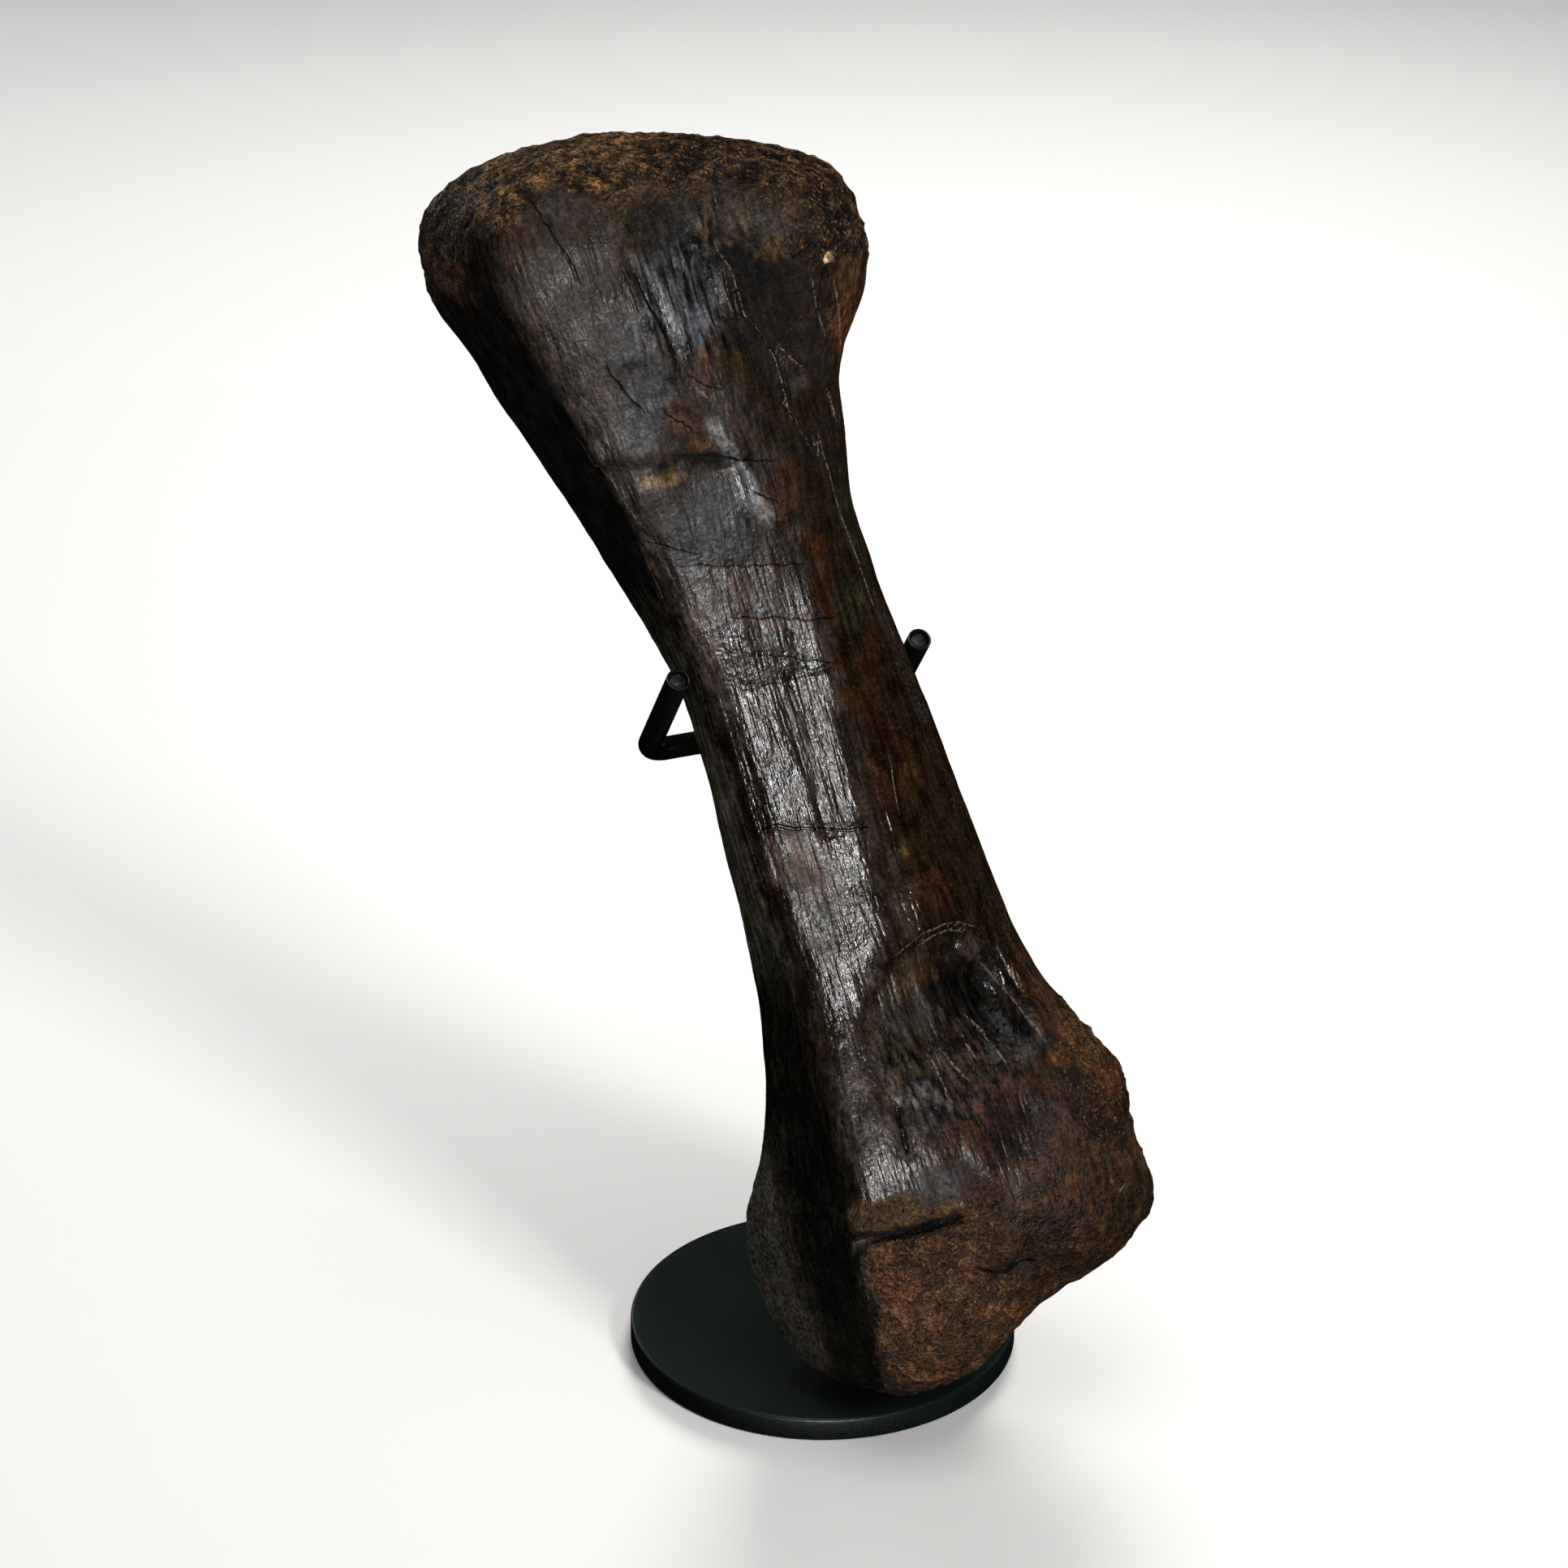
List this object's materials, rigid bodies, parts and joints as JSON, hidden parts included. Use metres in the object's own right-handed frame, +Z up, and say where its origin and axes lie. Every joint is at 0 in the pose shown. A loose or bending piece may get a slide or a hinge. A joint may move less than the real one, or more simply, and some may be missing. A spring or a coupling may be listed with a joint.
{
  "type": "fossil bone on a display stand",
  "caption": "Dark fossil foot bone with a flared head and broad knuckles, held upright by a bent-rod cradle on a post and a round foot plate.",
  "frame": {"origin": "centre of the underside of the round foot plate", "axes": "+Z up, +X to the viewer's right, -Y towards the viewer; the bone leans to the left and back"},
  "size_m": [0.1844, 0.1412, 0.3222],
  "materials": {
    "fossil": "semi-gloss",
    "plate_paint": "satin",
    "post_paint": "satin",
    "rod_paint": "satin",
    "sleeve": "gloss"
  },
  "bodies": {
    "root": {"toe_bone": "fossil", "base_disc": "plate_paint", "post": "post_paint", "cradle_rod": "rod_paint", "sleeve_left": "sleeve", "sleeve_right": "sleeve"}
  },
  "joints": []
}
